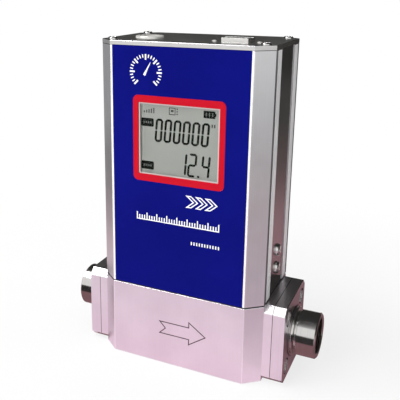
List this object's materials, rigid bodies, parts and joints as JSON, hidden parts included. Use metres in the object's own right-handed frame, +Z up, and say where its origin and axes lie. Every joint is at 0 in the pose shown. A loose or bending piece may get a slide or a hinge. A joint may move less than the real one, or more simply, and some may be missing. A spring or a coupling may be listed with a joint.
{
  "type": "thermal mass flow meter",
  "caption": "Inline thermal mass flow meter: bored flow block with screwed end plates and threaded nipples, carrying an extruded display head with connectors on top.",
  "frame": {"origin": "middle of the flow block's underside, on the surface that the meter stands on", "axes": "+X along the bore from inlet to outlet, +Y from the display towards the back, +Z up"},
  "size_m": [0.154, 0.062, 0.1927],
  "materials": {
    "block_aluminium": "fine brushed and clear anodised",
    "cover_aluminium": "extruded, vertically brushed, clear anodised",
    "panel_aluminium": "satin anodised sheet",
    "nipple_steel": "turned, bright threads",
    "screw_steel": "plain hardware finish",
    "inner_steel": "plain sheet and turned steel",
    "probe_steel": "drawn tube, polished",
    "seal_rubber": "moulded black rubber",
    "label_film": "blue printed film with a fine grain",
    "frame_film": "red printed film",
    "window_clear": "clear polycarbonate",
    "lcd_glass": "grey-green reflective cell",
    "backlight_white": "white diffuser",
    "board_green": "green solder mask",
    "standoff_brass": "turned brass",
    "chip_black": "moulded black",
    "can_aluminium": "capacitor cans",
    "header_cream": "moulded cream plastic",
    "holder_black": "moulded black plastic",
    "cell_sleeve": "green shrink sleeve",
    "ribbon_grey": "grey flat cable",
    "ribbon_red": "red flat cable",
    "contact_gold": "gold flashed",
    "shell_nickel": "nickel plated"
  },
  "bodies": {
    "root": {"flow_body": "block_aluminium", "inlet_end_plate": "block_aluminium", "outlet_end_plate": "block_aluminium", "front_cover": "cover_aluminium", "rear_cover": "cover_aluminium", "left_side_panel": "panel_aluminium", "right_side_panel": "panel_aluminium", "top_plate": "panel_aluminium", "inlet_nipple": "nipple_steel", "outlet_nipple": "nipple_steel", "inlet_plate_screws": "screw_steel", "outlet_plate_screws": "screw_steel", "holder_screws": "screw_steel", "bracket_screws": "screw_steel", "side_screws": "screw_steel", "top_plate_screws": "screw_steel", "lcd_screws": "screw_steel", "board_screws": "screw_steel", "inlet_screen": "inner_steel", "outlet_screen": "inner_steel", "flow_conditioner": "inner_steel", "sensor_holder": "inner_steel", "left_bracket": "inner_steel", "right_bracket": "inner_steel", "lcd_bezel": "inner_steel", "heater_probe": "probe_steel", "reference_probe": "probe_steel", "inlet_plate_seal": "seal_rubber", "outlet_plate_seal": "seal_rubber", "stem_seal": "seal_rubber", "base_gasket": "seal_rubber", "front_label": "label_film", "display_frame": "frame_film", "display_window": "window_clear", "lcd_cell": "lcd_glass", "lcd_backlight": "backlight_white", "lcd_board": "board_green", "main_board": "board_green", "sensor_board": "board_green", "lcd_standoffs": "standoff_brass", "board_standoffs": "standoff_brass", "board_chips": "chip_black", "board_capacitors": "can_aluminium", "board_headers": "header_cream", "battery_holder": "holder_black", "socket_insert": "holder_black", "data_port_insert": "holder_black", "battery_cell": "cell_sleeve", "display_ribbon": "ribbon_grey", "sensor_ribbon": "ribbon_grey", "data_ribbon": "ribbon_grey", "power_ribbon": "ribbon_red", "socket_contacts": "contact_gold", "data_port_contacts": "contact_gold", "battery_contacts": "contact_gold", "socket_shell": "shell_nickel", "socket_nut": "shell_nickel", "data_port_shell": "shell_nickel", "data_port_screws": "shell_nickel"}
  },
  "joints": []
}
